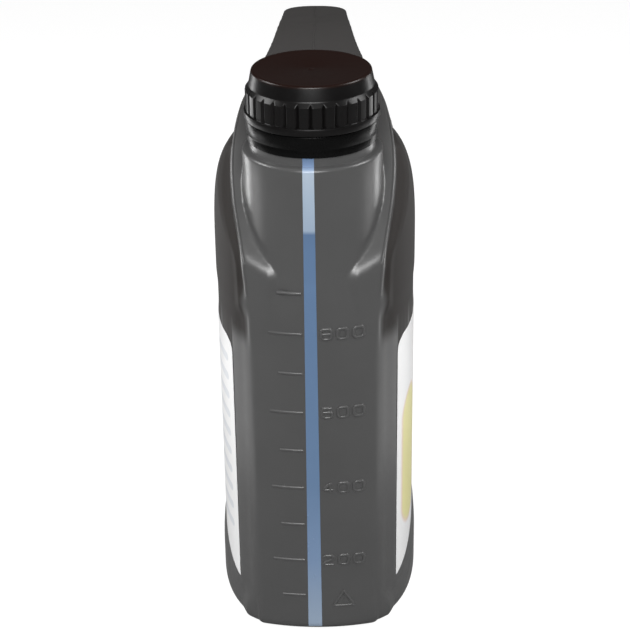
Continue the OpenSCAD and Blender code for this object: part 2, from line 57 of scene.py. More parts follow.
panel_high_r = 48
panel_step = 1.3
corner_run = 6.5
side_y = 12.3
roof_z = 140
roof_y = 2
roof_power = 1.9
crest_z = 200.2
crest_y = 95
ridge_w = 54.2
crest_w = 24
tail_w = 21.4
ridge_r = 0.9
ridge_run = 2.4
flare_low = 120
ridge_run_shares = [0, 0.05, 0.1, 0.15, 0.2, 0.3, 0.4, 0.5, 0.6, 0.7, 0.8, 0.9, 1]
ridge_w_shares = [0.85, 0.868, 0.905, 0.947, 0.982, 1.012, 0.985, 0.904, 0.771, 0.64, 0.545, 0.49,
                  crest_w / ridge_w]
cheek_z = 136.4
cheek_h = 37
cheek_power = 3
pad_proud = 0.4
pad_z = 121.4
pad_rise = 7
shoulder_z = pad_z + pad_rise
handle_low = 178.4
soft_edge = 2.4
back_lean = 7
lean_z = 140
tail_r = 8
neck_y = 23.45
column_r = 23.2
column_top = 178
moat_r = 22.4
roof_drop = crest_z - roof_z
roof_run = crest_y - roof_y
side_max = body_w / 2


def ease(t):
    """A share from 0 to 1 with a soft start and end."""
    c = min(1, max(0, t))
    return c * c * (3 - 2 * c)


def soft_max(a, b, k):
    """The greater of two lengths, blended over k where they meet."""
    s = max(k - abs(a - b), 0) / k
    return max(a, b) + s * s * k / 4


def curve(xs, ys, x):
    """A smooth curve through stations, read at x."""
    c = min(xs[-1], max(xs[0], x))
    i = max(k for k in range(len(xs) - 1) if k == 0 or xs[k] <= c)

    def slope(k):
        a, b = max(k - 1, 0), min(k + 1, len(xs) - 1)
        return (ys[b] - ys[a]) / (xs[b] - xs[a])

    w = xs[i + 1] - xs[i]
    t = (c - xs[i]) / w
    a, b = ys[i], ys[i + 1]
    p, q = slope(i) * w, slope(i + 1) * w
    return a + t * (p + t * (3 * (b - a) - 2 * p - q + t * (p + q - 2 * (b - a))))


def arc_rise(t, r):
    """How far a rounded edge of radius r has turned in at the share t of its height."""
    return r * (1 - math.sqrt(max(0, 1 - t * t)))


def roof_at(z):
    """Distance of the sloping roof from the front plane."""
    return crest_y - roof_run * max(0, (crest_z - z) / roof_drop) ** (1 / roof_power)


def ridge_at(y):
    """Half the distance between the roof's two ridges."""
    return ridge_w / 2 * curve(ridge_run_shares, ridge_w_shares, (y - roof_y) / roof_run)


def back_at(z):
    """Distance of the back from the front plane."""
    lean = back_lean * ease((z - lean_z) / (crest_z - lean_z))
    return body_d - lean - arc_rise(max(0, z - crest_z + tail_r) / tail_r, tail_r)


def body_at(y, b):
    """Half the body's width, for a back at distance b."""
    behind = y > widest_y
    t = (y - widest_y) / (b - widest_y) if behind else (widest_y - y) / side_reach
    p = rear_power if behind else side_power
    return side_max * max(0, 1 - t ** p) ** (1 / p)


def handle_at(y, b, z):
    """Half the handle's width, for a back at distance b."""
    t = max(0, y - b + tail_r) / tail_r
    inset = arc_rise(max(0, z - crest_z + ridge_r) / ridge_r, ridge_r)
    past_crest = min(1, max(0, y - crest_y) / (body_d - back_lean - crest_y))
    taper = (crest_w - tail_w) / 2 * past_crest
    half = ridge_at(min(y, crest_y)) - taper - inset
    return half * max(0, 1 - t ** side_power) ** (1 / side_power)


def cheek_left(z):
    """The share of the body's width that the cheeks still have at height z."""
    u = min(1, max(0, (z - cheek_z) / cheek_h))
    return math.sqrt(1 - u ** cheek_power)


def foot_at(y):
    """Height of the foot's upper edge, which rises towards the back."""
    return foot_z + foot_rise * ease((y - roof_y - corner_run) / (widest_y - corner_run))


def side_at(y, z):
    """Half the bottle's width at distance y from the front plane and height z."""
    b = back_at(z)
    full = body_at(y, b)
    thin = min(full, handle_at(y, b, z))
    proud = pad_proud * ease((z - pad_z) / pad_rise)
    proud += foot_proud * ease((foot_at(y) - z) / corner_run)
    stand = proud * min(1, full / side_max * 2)
    return thin + (full + stand - thin) * cheek_left(z)


def front_half(z):
    """Half the width of the front panel or of the roof at height z."""
    if z > roof_z:
        return ridge_at(roof_at(z))
    rise = max(0, (z - flare_low) / (roof_z - flare_low)) ** 2
    flare = (ridge_at(roof_y) - panel_w / 2) * rise
    return (panel_base_w + (panel_w - panel_base_w) * z / roof_z) / 2 + flare


def panel_at(x, z):
    """How far the front panel has curved back at x."""
    return x * x / (panel_low_r + (panel_high_r - panel_low_r) * ease(z / roof_z)) / 2


def front_at(x, z):
    """Distance of the front panel or the roof from the front plane."""
    front = soft_max(panel_at(x, z), roof_at(z), soft_edge)
    if z > column_top:
        front = max(front, neck_y + math.sqrt(max(0, moat_r ** 2 - x * x)))
    return front


groove = 1.9
dip_out = 0.2
dip_least = 0.45
dip_limit = 0.45
band_out = 0.55
band_in = 0.5
pad_bulge = 0.12
pad_pull = 0.45
foot_bulge = 0.16
foot_pull = 0.34


def corner_stations(z, later=0):
    """The front corner at height z: the panel's edge, the ridge's turn, a groove and a band."""
    flat = front_half(z) - ridge_r
    pad = ease((z - later - pad_z) / pad_rise)
    step = panel_step * (1 - pad)
    turn = math.radians(45)
    z45 = z + ridge_r * (1 - math.cos(turn))
    in45 = ridge_r * (1 - math.sin(turn))
    y45 = min(front_at(front_half(z45) - in45, z45), front_at(flat, z) + ridge_run)
    y45 += step * (1 - math.cos(turn))
    x45 = (ridge_at(y45) if z > handle_low else front_half(z45)) - in45
    y90 = min(front_at(front_half(z + ridge_r), z + ridge_r) + step, y45 + ridge_run)
    x90 = min(ridge_at(y90), side_at(y90, z)) if z > handle_low else front_half(z + ridge_r)
    free_run = min(corner_run, (back_at(z) - y90) / 2)
    run = side_y - y90 + (free_run - side_y + y90) * pad
    y_side = y90 + run
    x_side = side_at(y_side, z)
    k = ease((x_side - x90) / corner_run * 2)
    dip = groove * k * ease((z - shoulder_z) / pad_rise) + panel_step / 2 * max(k, dip_least)
    y_dip = y90 + min(dip, run * dip_limit)
    x_dip = x90 + (x_side - x90) * dip_out
    foot = ease((foot_z + base_r - z) / corner_run)
    x_band = x90 + (x_side - x90) * (band_out + pad_bulge * pad * k + foot_bulge * foot)
    y_band = y_dip + (y_side - y_dip) * band_in * (1 - pad_pull * pad * k - foot_pull * foot)
    return [(flat, front_at(flat, z)), (x45, y45), (x90, y90), (x_dip, y_dip),
            (x_band, y_band), (x_side, y_side)]


def half_outline(z, front_steps, corner_steps, side_steps, later=0):
    """Half of the outline at height z, from the middle of the front to the middle of the back."""
    stations = corner_stations(z, later)
    flat = stations[0][0]
    y_side = stations[-1][1]
    back = back_at(z)
    half = []
    for i in range(front_steps):
        x = flat * i / front_steps
        half.append((x, front_at(x, z)))
    for (x0, y0), (x1, y1) in zip(stations, stations[1:]):
        for j in range(corner_steps):
            t = j / corner_steps
            half.append((x0 + (x1 - x0) * t, y0 + (y1 - y0) * t))
    half.append(stations[-1])
    for j in range(1, side_steps + 1):
        y = y_side + (back - y_side) * (1 - math.cos(math.pi * j / side_steps)) / 2
        half.append((0 if j == side_steps else side_at(y, z), y))
    return half


def drawn_in(points, inset):
    """A half outline drawn in towards the middle of its section."""
    y0, y1 = points[0][1], points[-1][1]
    mid = (y0 + y1) / 2
    kx = 1 - inset / max(p[0] for p in points)
    ky = 1 - inset / (y1 - y0) * 2
    return [(x * kx, mid + (y - mid) * ky) for x, y in points]


def closed(points):
    """A half outline mirrored to a whole one."""
    return points + [(-x, y) for x, y in points[-2:0:-1]]


def base_inset(z):
    """How far the rounded base edge is drawn in at height z."""
    return base_r - math.sqrt(max(0, z * (2 * base_r - z))) if z < base_r else 0


def work_on(obj):
    """Makes one object the only selected and the active one."""
    bpy.ops.object.select_all(action="DESELECT")
    obj.select_set(True)
    bpy.context.view_layer.objects.active = obj


def cleaned(obj):
    """Merges doubled points and turns all faces outwards."""
    work_on(obj)
    bpy.ops.object.mode_set(mode="EDIT")
    bpy.ops.mesh.select_all(action="SELECT")
    bpy.ops.mesh.remove_doubles(threshold=1e-6)
    bpy.ops.mesh.normals_make_consistent(inside=False)
    bpy.ops.object.mode_set(mode="OBJECT")
    return obj


def linked(name, data):
    """A new object in the scene for a mesh or a curve."""
    obj = bpy.data.objects.new(name, data)
    bpy.context.collection.objects.link(obj)
    return obj


def placed(x, y, z):
    """A point in millimetres from the front plane, in the frame's metres."""
    return (x * MM, (y - body_d / 2) * MM, z * MM)


def solid(name, rings):
    """A closed solid through rings of points in millimetres from the front plane."""
    n = len(rings[0])
    verts = [placed(*point) for ring in rings for point in ring]
    faces = [tuple(range(n))[::-1], tuple(range(len(verts) - n, len(verts)))]
    for k in range(len(rings) - 1):
        for i in range(n):
            a, b = k * n + i, k * n + (i + 1) % n
            faces.append((a, b, b + n, a + n))
    mesh = bpy.data.meshes.new(name)
    mesh.from_pydata(verts, [], faces)
    return cleaned(linked(name, mesh))


def modify(obj, kind, **settings):
    """Adds a modifier with its settings and applies it."""
    work_on(obj)
    mod = obj.modifiers.new(kind.lower(), kind)
    for key, value in settings.items():
        setattr(mod, key, value)
    bpy.ops.object.modifier_apply(modifier=mod.name)


def combine(obj, other, operation):
    """Joins another solid to a piece, or cuts it out, and removes the other solid."""
    modify(obj, "BOOLEAN", object=other, operation=operation, solver="MANIFOLD")
    bpy.data.objects.remove(other, do_unlink=True)


def turned(name, profile, steps):
    """A profile of radius and height drawn point by point and spun round the neck's axis."""
    centre = Vector(placed(0, neck_y, 0))
    path = [centre + Vector((r * MM, 0, z * MM)) for r, z in profile]
    bpy.ops.object.select_all(action="DESELECT")
    bpy.ops.mesh.primitive_plane_add(size=MM, location=path[0])
    obj = bpy.context.object
    obj.name = name
    bpy.ops.object.transform_apply(location=True, rotation=True, scale=True)
    bpy.ops.object.mode_set(mode="EDIT")
    bpy.ops.mesh.merge(type="CENTER")
    for p, q in zip(path, path[1:]):
        bpy.ops.mesh.extrude_region_move(TRANSFORM_OT_translate={"value": q - p})
    bpy.ops.mesh.select_all(action="SELECT")
    bpy.ops.mesh.spin(steps=steps, angle=2 * math.pi, center=centre, axis=(0, 0, 1))
    bpy.ops.object.mode_set(mode="OBJECT")
    return cleaned(obj)


def bead(name, points, radius, loop=False):
    """A round bead along points in millimetres from the front plane."""
    data = bpy.data.curves.new(name, "CURVE")
    data.dimensions = "3D"
    data.bevel_depth = radius * MM
    data.bevel_resolution = 3
    data.use_fill_caps = True
    spline = data.splines.new("POLY")
    spline.points.add(len(points) - 1)
    for spot, point in zip(spline.points, points):
        spot.co = (*placed(*point), 1)
    spline.use_cyclic_u = loop
    work_on(linked(name, data))
    bpy.ops.object.convert(target="MESH")
    return cleaned(bpy.context.object)


def skin(name, heights, inset, lift, steps, floor):
    """The bottle's skin through sections at given heights, drawn in by a wall."""
    rings = []
    for z in heights:
        up = z + lift * ease((z - pad_z) / pad_rise)
        half = half_outline(up, *steps, later=lift + inset)
        half = drawn_in(half, inset + base_inset(z - floor))
        rings.append([(x, y, z) for x, y in closed(half)])
    return solid(name, rings)


hole_y = 81
hole_z = 159.4
hole_d = 32
hole_h = 50
hole_power = 2.5
hole_lean = 0.16
flare_x = 15
flare_r = 21
flare_reach = flare_x + flare_r * 0.976
flare_power = 1.6


def finger_opening(name, grow, around, rims):
    """The finger opening with its rim flared to both sides."""
    outs = [flare_x + (flare_reach - flare_x) * (1 - (1 - i / rims) ** flare_power)
            for i in range(rims + 1)]
    rings = []
    for x in [-v for v in reversed(outs)] + outs:
        wide = arc_rise(max(0, abs(x) - flare_x) / flare_r, flare_r) + grow
        ring = []
        for i in range(around):
            a = 2 * math.pi * i / around
            c, s = math.cos(a), math.sin(a)
            y = math.copysign(abs(c) ** (2 / hole_power), c) * (hole_d / 2 + wide)
            z = math.copysign(abs(s) ** (2 / hole_power), s) * (hole_h / 2 + wide)
            ring.append((x, hole_y + y + z * hole_lean, hole_z + z))
        rings.append(ring)
    return solid(name, rings)


def spaced(low, high, count, power=1):
    """Heights from low to just under high, drawn closer to the end for a power above 1."""
    return [low + (high - low) * (1 - (1 - i / count) ** power) for i in range(count)]


outline_steps = (16, 4, 44)
column_gap = 0.02
crest_gap = 0.03
core_top = column_top - 4
voxel = 0.62
kept_share = 0.31
rows = [base_r * (1 - math.cos(math.pi / 2 * i / 8)) for i in range(8)]
rows += spaced(base_r, column_top, 118) + [column_top - column_gap, column_top + column_gap]
rows += spaced(column_top + 0.4, crest_z, 90, 1.7)[1:] + [crest_z - crest_gap]
bottle = skin("bottle_body", rows, 0, 0, outline_steps, 0)
column_core = [(0, pad_z), (column_r, pad_z), (column_r, core_top), (0, core_top)]
combine(bottle, turned("column_core", column_core, 180), "UNION")
combine(bottle, finger_opening("grip", 0, 96, 20), "DIFFERENCE")
modify(bottle, "REMESH", mode="VOXEL", voxel_size=voxel * MM)
modify(bottle, "SMOOTH", factor=0.5, iterations=3)

# The front panel runs up into the column without a fold in its middle.
flush_x = 9
flush_fade = 6
flush_low = 122
flush_high = 142
flush_end = column_top - 10
flush_depth = 8
for v in bottle.data.vertices:
    x, y, z = v.co.x / MM, v.co.y / MM + body_d / 2, v.co.z / MM
    share = 1 - ease((abs(x) - flush_x) / flush_fade)
    if flush_low < z < flush_end and y < flush_depth and share > 0:
        panel = panel_at(x, z)
        column = neck_y - math.sqrt(column_r ** 2 - x * x)
        level = panel + (column - panel) * ease((z - flush_low) / (flush_high - flush_low))
        v.co.y += (level - y) * share * MM

# The corners between the front panel and the labels are softer than the rest.
label_front = 15.2
soft_low = 7
soft_low_fade = 8
soft_top = pad_z - 3
soft_top_fade = 10
soft_x = 14
soft_x_fade = 4
soft_label_fade = 3
soft = bottle.vertex_groups.new(name="soft")
for v in bottle.data.vertices:
    x, y, z = abs(v.co.x) / MM, v.co.y / MM + body_d / 2, v.co.z / MM
    share = ease((soft_top - z) / soft_top_fade) * ease((z - soft_low) / soft_low_fade)
    share *= ease((label_front - y) / soft_label_fade) * ease((x - soft_x) / soft_x_fade)
    if share > 0:
        soft.add([v.index], share, "REPLACE")
modify(bottle, "SMOOTH", factor=0.5, iterations=60, vertex_group="soft")
bottle.vertex_groups.clear()
modify(bottle, "DECIMATE", ratio=kept_share)

column_edge = 1.4
neck_root = column_top - 18
neck_root_in = 0.8
neck_r = 20.7
neck_fillet = [(0.5, 0), (0.1, 0.2), (0, 0.6)]
ledge_z = 183.4
ledge_edge = 0.3
finish_r = 17.9
finish_lip = 0.6
lip_turn = finish_lip * 0.3
bore_r = 16.2
bore_edge = 0.5
bore_floor = column_top + 4
mouth_z = 200.9
neck_line = [(0, neck_root), (column_r - neck_root_in, neck_root), (column_r, column_top - 6)]
for a in [math.pi / 2 * (1 - i / 8) for i in range(9)]:
    neck_line.append((column_r - column_edge * (1 - math.sin(a)),
                      column_top - column_edge * (1 - math.cos(a))))
neck_line += [(neck_r + out, column_top + up) for out, up in neck_fillet]
neck_line += [(neck_r, ledge_z - ledge_edge), (neck_r - ledge_edge, ledge_z), (finish_r, ledge_z),
              (finish_r, mouth_z - finish_lip), (finish_r - lip_turn, mouth_z - lip_turn),
              (finish_r - finish_lip, mouth_z), (bore_r + bore_edge, mouth_z),
              (bore_r, mouth_z - bore_edge), (bore_r, bore_floor), (0, bore_floor)]
combine(bottle, turned("neck", neck_line, 192), "UNION")

thread_pitch = 5
thread_r = 0.8
thread_low = ledge_z + 7
thread_steps = 120


def thread_path(radius, sink, start, turns, fade):
    """A thread's path round the neck's axis, sunk into its wall at both ends."""
    path = []
    for i in range(thread_steps + 1):
        t = i / thread_steps
        a = start + 2 * math.pi * turns * t
        r = radius + sink * (1 - min(1, fade * t, fade * (1 - t)))
        path.append((r * math.cos(a), neck_y + r * math.sin(a),
                     thread_low + thread_pitch * turns * t))
    return path


raised = bead("raised_marks", thread_path(finish_r, -thread_r, 0, 1.7, 8), thread_r)


def wall_front(x, z):
    """The outside of the front wall at x and height z, also round the column and the base edge."""
    front = front_at(x, z)
    if z > pad_z:
        front = min(front, neck_y - math.sqrt(column_r ** 2 - x * x))
    return base_inset(z) + front


strip_w = 3.7
strip_foot_w = 4.9
strip_x = -1


def strip_side(z, share):
    """A place across the stripe at height z: -1 at its left edge, 1 at its right."""
    w = strip_w + (strip_foot_w - strip_w) * max(0, 1 - z / column_top)
    return strip_x + share * w / 2


tick_r = 0.75
tick_in = 0.4
tick_low = 15.8
tick_pitch = 14.84
tick_gap = 0.9
tick_long = 11
tick_short = 8
tick_steps = 12
for i in range(9):
    z = tick_low + tick_pitch * i
    length = tick_long if i % 2 else tick_short
    start = strip_side(z, -1) - tick_gap
    xs = [start - length * j / tick_steps for j in range(tick_steps + 1)]
    spots = [(x, wall_front(x, z) + tick_in, z) for x in xs]
    combine(raised, bead("tick", spots, tick_r), "UNION")


def drawn(points, steps, loop):
    """A line through points in short steps, closed to a loop or left open."""
    ends = points[1:] + points[:1] if loop else points[1:]
    path = []
    for (u0, v0), (u1, v1) in zip(points, ends):
        path += [(u0 + (u1 - u0) * j / steps, v0 + (v1 - v0) * j / steps) for j in range(steps)]
    return path if loop else path + points[-1:]


number_x = 2.4
digit_w = 3.4
digit_h = 3.7
digit_pitch = 5.35
digit_r = 0.64
digit_in = 0.14
round_box = [(0.2, 0), (0.8, 0), (1, 0.2), (1, 0.8), (0.8, 1), (0.2, 1), (0, 0.8), (0, 0.2)]
digit_lines = {
    "0": [round_box],
    "2": [[(0, 0.85), (0.2, 1), (0.8, 1), (1, 0.8), (0.9, 0.6), (0.1, 0.25), (0, 0), (1, 0)]],
    "4": [[(0.75, 0), (0.75, 1), (0, 0.3), (1, 0.3)]],
    "6": [[(0.95, 0.95), (0.2, 1), (0, 0.8), (0, 0.2), (0.2, 0), (0.8, 0), (1, 0.15), (1, 0.4),
           (0.8, 0.55), (0.05, 0.55)]],
    "8": [round_box, [(0.02, 0.52), (0.98, 0.52)]],
}
for i, figure in enumerate("2468"):
    middle = tick_low + tick_pitch * (2 * i + 1)
    for k, digit in enumerate(figure + "00"):
        left = number_x + k * digit_pitch
        for line in digit_lines[digit]:
            loop = line is round_box
            spots = []
            for u, v in drawn(line, 6, loop):
                x, z = left + u * digit_w, middle + (v - 0.5) * digit_h
                spots.append((x, wall_front(x, z) + digit_in, z))
            combine(raised, bead("digit", spots, digit_r, loop), "UNION")

mark_x = 9.3
mark_low = 11.2
mark_h = 6.2
mark_w = 7.2
corners = [(mark_x - mark_w / 2, mark_low), (mark_x + mark_w / 2, mark_low),
           (mark_x, mark_low + mark_h)]
spots = [(x, wall_front(x, z) + digit_in, z) for x, z in drawn(corners, 10, True)]
combine(raised, bead("mark", spots, digit_r, True), "UNION")

seam_r = 0.36
seam_in = 0.12
seam_back_in = seam_in + 0.1
seam_start = column_top + 3
seam_crest = crest_z - 0.6
seam_back_top = crest_z - 0.8
seam_back_run = crest_z - 6
seam = []
for i in range(60):
    z = seam_start + (seam_crest - seam_start) * (1 - (1 - i / 59) ** 2)
    seam.append((0, roof_at(z) + seam_in, z - seam_in))
for i in range(1, 12):
    y = crest_y + (back_at(crest_z) - crest_y) * i / 12
    seam.append((0, y, crest_z - crest_gap - seam_in))
for i in range(1, 90):
    z = seam_back_top - seam_back_run * (i / 89) ** 1.3
    seam.append((0, back_at(z) - seam_back_in, z))
combine(raised, bead("seam", seam, seam_r), "UNION")

rim_r = 0.5
rim_in = 0.32
rim_low = 127
rim_high = 190
rim_steps = 110
rim_fade = 10
rim_turn = 0.25
rim_sink_x = 0.8
rim_sink_y = 0.6
for side in (-1, 1):
    rim = []
    for i in range(rim_steps + 1):
        t = i / rim_steps
        z = rim_low + (rim_high - rim_low) * t
        (x0, y0), (x1, y1) = corner_stations(z)[1:3]
        x, y = x0 + (x1 - x0) * rim_turn, y0 + (y1 - y0) * rim_turn
        sink = rim_in + rim_r * (1 - min(1, rim_fade * t, rim_fade * (1 - t)))
        rim.append((side * (x - sink * rim_sink_x), y + sink * rim_sink_y, z))
    combine(raised, bead("rim", rim, rim_r), "UNION")
combine(bottle, raised, "UNION")

push_up = 2
inner_lift = wall * 1.35
inner_floor = push_up + wall
inner_step = handle_low - inner_lift + 0.05
inner_rows = [inner_floor + base_r * share for share in (0, 0.1, 0.4, 1)]
inner_rows += spaced(26, shoulder_z, 8) + spaced(shoulder_z, inner_step, 18) + [inner_step]
inner_rows += spaced(inner_step + 2, crest_z - inner_lift, 9, 1.4)
hollow = skin("hollow", inner_rows, wall, inner_lift, (5, 2, 16), inner_floor)
inner_r = column_r - wall
room_top = column_top - wall - (inner_r - bore_r) / 2
room_bore_r = bore_r - 0.15
room_end = bore_floor + 2
neck_room = [(0, shoulder_z), (inner_r, shoulder_z), (inner_r, room_top),
             (room_bore_r, column_top), (room_bore_r, room_end), (0, room_end)]
combine(hollow, turned("neck_room", neck_room, 96), "UNION")
combine(hollow, finger_opening("grip_wall", wall, 48, 8), "DIFFERENCE")
combine(bottle, hollow, "DIFFERENCE")

recess_in = 9.6
recess_rows = [(1, -1), (1, 0), (1.06, 0.3), (1.9, push_up - 0.2), (2, push_up)]
foot_line = half_outline(base_r, *outline_steps)
recess_rings = []
for share, z in recess_rows:
    ring = closed(drawn_in(foot_line, recess_in * share))
    recess_rings.append([(x, y, z) for x, y in ring])
combine(bottle, solid("recess", recess_rings), "DIFFERENCE")

strip_t = 0.7
strip_low = 2
strip_end = 181


def around_neck(x, r, z):
    """A point of the front of a cylinder round the neck's axis."""
    return (x, neck_y - math.sqrt(r * r - x * x), z)


def strip_solid(name, out):
    """The stripe let into the front wall, from the base edge over the column's edge to the neck."""
    shares = [i / 4 - 1 for i in range(9)]
    rings = []
    for z in spaced(strip_low, base_r, 6) + spaced(base_r, column_top - column_edge, 110):
        xs = [strip_side(z, share) for share in shares]
        outer = [(x, wall_front(x, z) - out, z) for x in xs]
        inner = [(x, wall_front(x, z) + strip_t, z) for x in xs]
        rings.append(outer + inner[::-1])
    bends = []
    for a in [math.pi / 2 * i / 6 for i in range(7)]:
        c, s = math.cos(a), math.sin(a)
        bends.append((column_r - column_edge * (1 - c), column_top - column_edge * (1 - s), c, s))
    for r, z, c, s in bends + [(neck_r, column_top, 1, 1), (neck_r, strip_end, 1, 0)]:
        xs = [strip_side(z, share) for share in shares]
        outer = [around_neck(x, r + out * c, z + out * s) for x in xs]
        inner = [around_neck(x, r - strip_t * c, z - strip_t * s) for x in xs]
        rings.append(outer + inner[::-1])
    return solid(name, rings)


def one_shell(obj):
    """Keeps the largest shell of a piece, without the chips and flaps that cutting leaves."""
    name = obj.name
    work_on(obj)
    bpy.ops.object.mode_set(mode="EDIT")
    bpy.ops.mesh.select_all(action="SELECT")
    bpy.ops.mesh.separate(type="LOOSE")
    bpy.ops.object.mode_set(mode="OBJECT")
    *chips, shell = sorted(bpy.context.selected_objects, key=lambda o: len(o.data.polygons))
    for chip in chips:
        bpy.data.objects.remove(chip, do_unlink=True)
    shell.name = name
    modify(shell, "TRIANGULATE")
    bpy.ops.object.mode_set(mode="EDIT")
    bpy.ops.mesh.select_all(action="SELECT")
    bpy.ops.mesh.remove_doubles(threshold=1e-7)
    bpy.ops.mesh.select_all(action="DESELECT")
    bpy.ops.object.mode_set(mode="OBJECT")
    faces_on = {}
    for face in shell.data.polygons:
        for key in face.edge_keys:
            faces_on[key] = faces_on.get(key, 0) + 1
    for face in shell.data.polygons:
        face.select = any(faces_on[key] == 1 for key in face.edge_keys)
    bpy.ops.object.mode_set(mode="EDIT")
    bpy.ops.mesh.select_mode(type="FACE")
    bpy.ops.mesh.delete(type="FACE")
    bpy.ops.mesh.select_mode(type="VERT")
    bpy.ops.object.mode_set(mode="OBJECT")
    return shell


def smoothed(obj, degrees):
    """Shades a piece smooth except at edges sharper than an angle."""
    work_on(obj)
    bpy.ops.object.shade_smooth_by_angle(angle=math.radians(degrees))


combine(bottle, strip_solid("strip_bed", 0.5), "DIFFERENCE")
bottle = one_shell(bottle)
smoothed(bottle, 40)

# The cheeks and the sides of the handle are matt and carry painted shade, darker than the front; a
# mask on the mesh tells the material where.
matt_shade_low = pad_z - 11
matt_shade_rise = 8
matt_shade_edge = 0.6
matt_shade_edge_fade = 2
matt_shade_back = 45
matt_shade_fade = 40
handle_matt_shade = 0.75
handle_matt_shade_z = 150
handle_matt_shade_y = 20
grip = bottle.data.attributes.new("grip", "FLOAT", "POINT")
edge_ys = [corner_stations(z)[1][1] for z in range(round(crest_z))]
last = len(edge_ys) - 1
for v, mark in zip(bottle.data.vertices, grip.data):
    y, z = v.co.y / MM + body_d / 2, v.co.z / MM
    if z > matt_shade_low:
        low, high = edge_ys[min(int(z), last)], edge_ys[min(int(z) + 1, last)]
        edge_y = low + (high - low) * (z % 1)
        behind = ease((y - edge_y - matt_shade_edge) / matt_shade_edge_fade)
        cheek = behind * ease((z - matt_shade_low) / matt_shade_rise) * (1 - ease((y - matt_shade_back) / matt_shade_fade))
        above = ease((z - handle_matt_shade_z) / matt_shade_fade) * ease((y - handle_matt_shade_y) / matt_shade_fade)
        mark.value = max(cheek, handle_matt_shade * above)


def srgb(text):
    """A colour written as the screen shows it, as shader values."""
    parts = [int(text[k:k + 2], 16) / 255 for k in (1, 3, 5)]
    return [c / 12.92 if c <= 0.04045 else ((c + 0.055) / 1.055) ** 2.4 for c in parts] + [1]


def grain_group():
    """Mottle, sheen and fine relief of a moulded plastic face."""
    group = bpy.data.node_groups.new("moulded_grain", "ShaderNodeTree")
    for name in ("Relief Scale", "Mottle Scale"):
        group.interface.new_socket(name, in_out="INPUT", socket_type="NodeSocketFloat")
    for name in ("Mottle", "Sheen", "Relief"):
        group.interface.new_socket(name, in_out="OUTPUT", socket_type="NodeSocketFloat")
    nodes, links = group.nodes, group.links
    given = nodes.new("NodeGroupInput")
    result = nodes.new("NodeGroupOutput")
    place = nodes.new("ShaderNodeTexCoord")
    finer = nodes.new("ShaderNodeMath")
    finer.operation = "MULTIPLY"
    finer.inputs[1].default_value = 3.1
    links.new(given.outputs["Mottle Scale"], finer.inputs[0])
    for name, scale, detail, roughness in (
            ("Mottle", given.outputs["Mottle Scale"], 4, 0.5),
            ("Sheen", finer.outputs[0], 6, 0.65),
            ("Relief", given.outputs["Relief Scale"], 1.5, 0.6)):
        noise = nodes.new("ShaderNodeTexNoise")
        noise.inputs["Detail"].default_value = detail
        noise.inputs["Roughness"].default_value = roughness
        links.new(place.outputs["Object"], noise.inputs["Vector"])
        links.new(scale, noise.inputs["Scale"])
        links.new(noise.outputs["Fac"], result.inputs[name])
    return group


moulded_grain = grain_group()


def moulded(name, dark, light, gloss, relief_scale, mottle_scale, relief_mm):
    """A moulded plastic: two tones, a range of roughness and a fine relief."""
    mat = bpy.data.materials.new(name)
    mat.use_nodes = True
    nodes, links = mat.node_tree.nodes, mat.node_tree.links
    shader = nodes["Principled BSDF"]
    grain = nodes.new("ShaderNodeGroup")
    grain.node_tree = moulded_grain
    grain.inputs["Relief Scale"].default_value = relief_scale
    grain.inputs["Mottle Scale"].default_value = mottle_scale
    tone = nodes.new("ShaderNodeMix")
    tone.name = "tone"
    tone.data_type = "RGBA"
    tone.inputs["A"].default_value = srgb(dark)
    tone.inputs["B"].default_value = srgb(light)
    links.new(grain.outputs["Mottle"], tone.inputs["Factor"])
    links.new(tone.outputs["Result"], shader.inputs["Base Color"])
    sheen = nodes.new("ShaderNodeMapRange")
    sheen.name = "sheen"
    sheen.inputs["From Min"].default_value = 0.3
    sheen.inputs["From Max"].default_value = 0.7
    sheen.inputs["To Min"].default_value = gloss[0]
    sheen.inputs["To Max"].default_value = gloss[1]
    links.new(grain.outputs["Sheen"], sheen.inputs["Value"])
    links.new(sheen.outputs["Result"], shader.inputs["Roughness"])
    bump = nodes.new("ShaderNodeBump")
    bump.inputs["Strength"].default_value = 1
    bump.inputs["Distance"].default_value = relief_mm * MM
    links.new(grain.outputs["Relief"], bump.inputs["Height"])
    links.new(bump.outputs["Normal"], shader.inputs["Normal"])
    return mat


def tinted(mat, mask, colour):
    """Lays a colour over a material's own, where a mask says."""
    nodes, links = mat.node_tree.nodes, mat.node_tree.links
    base = nodes["Principled BSDF"].inputs["Base Color"]
    layer = nodes.new("ShaderNodeMix")
    layer.data_type = "RGBA"
    layer.inputs["B"].default_value = srgb(colour)
    links.new(mask, layer.inputs["Factor"])
    links.new(base.links[0].from_socket, layer.inputs["A"])
    links.new(layer.outputs["Result"], base)


def made_of(obj, mat):
    """Gives a piece its one material."""
    obj.data.materials.clear()
    obj.data.materials.append(mat)


body_plastic = moulded("body_plastic", "#484848", "#4e4e4e", (0.28, 0.36), 420, 60, 0.006)
nodes, links = body_plastic.node_tree.nodes, body_plastic.node_tree.links
matt_and_shade_zone = nodes.new("ShaderNodeAttribute")
matt_and_shade_zone.attribute_name = "grip"
# Painted shade: where the mask says, the cheeks and the handle are tinted a dark brownish grey.
tinted(body_plastic, matt_and_shade_zone.outputs["Fac"], "#1f1b19")
matt = nodes.new("ShaderNodeMix")
matt.inputs["B"].default_value = 0.8
links.new(matt_and_shade_zone.outputs["Fac"], matt.inputs["Factor"])
links.new(nodes["sheen"].outputs["Result"], matt.inputs["A"])
links.new(matt.outputs["Result"], nodes["Principled BSDF"].inputs["Roughness"])
made_of(bottle, body_plastic)
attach(bottle, "bottle")
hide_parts("bottle")

